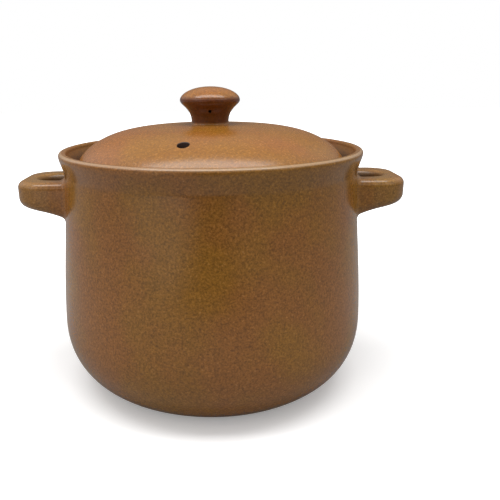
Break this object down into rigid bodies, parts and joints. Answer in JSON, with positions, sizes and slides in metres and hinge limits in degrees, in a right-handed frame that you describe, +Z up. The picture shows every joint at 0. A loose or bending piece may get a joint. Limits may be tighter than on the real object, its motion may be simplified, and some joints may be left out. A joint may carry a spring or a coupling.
{
  "type": "sand pot",
  "caption": "Deep stoneware stew pot with a flared lip, loop lugs at both sides and a loose domed lid with a mushroom knob.",
  "frame": {"origin": "middle of the foot, on the surface that the pot stands on", "axes": "+X towards the right handle, +Y to the back, +Z up; the lid's steam hole and the knob's pinhole face -Y"},
  "size_m": [0.2488, 0.199, 0.1935],
  "materials": {
    "pot_glaze": "satin speckled brown glaze on stoneware",
    "lid_glaze": "satin speckled brown glaze on stoneware, a little warmer than the pot"
  },
  "bodies": {
    "pot": {"pot_body": "pot_glaze", "left_handle": "pot_glaze", "right_handle": "pot_glaze"},
    "lid_with_knob": {"lid": "lid_glaze", "lid_knob": "lid_glaze"}
  },
  "joints": [
    {"name": "lid_lift", "type": "slide", "parent": "pot", "child": "lid_with_knob", "axis": [0, 0, 1], "range_m": [0, 0.08]}
  ]
}
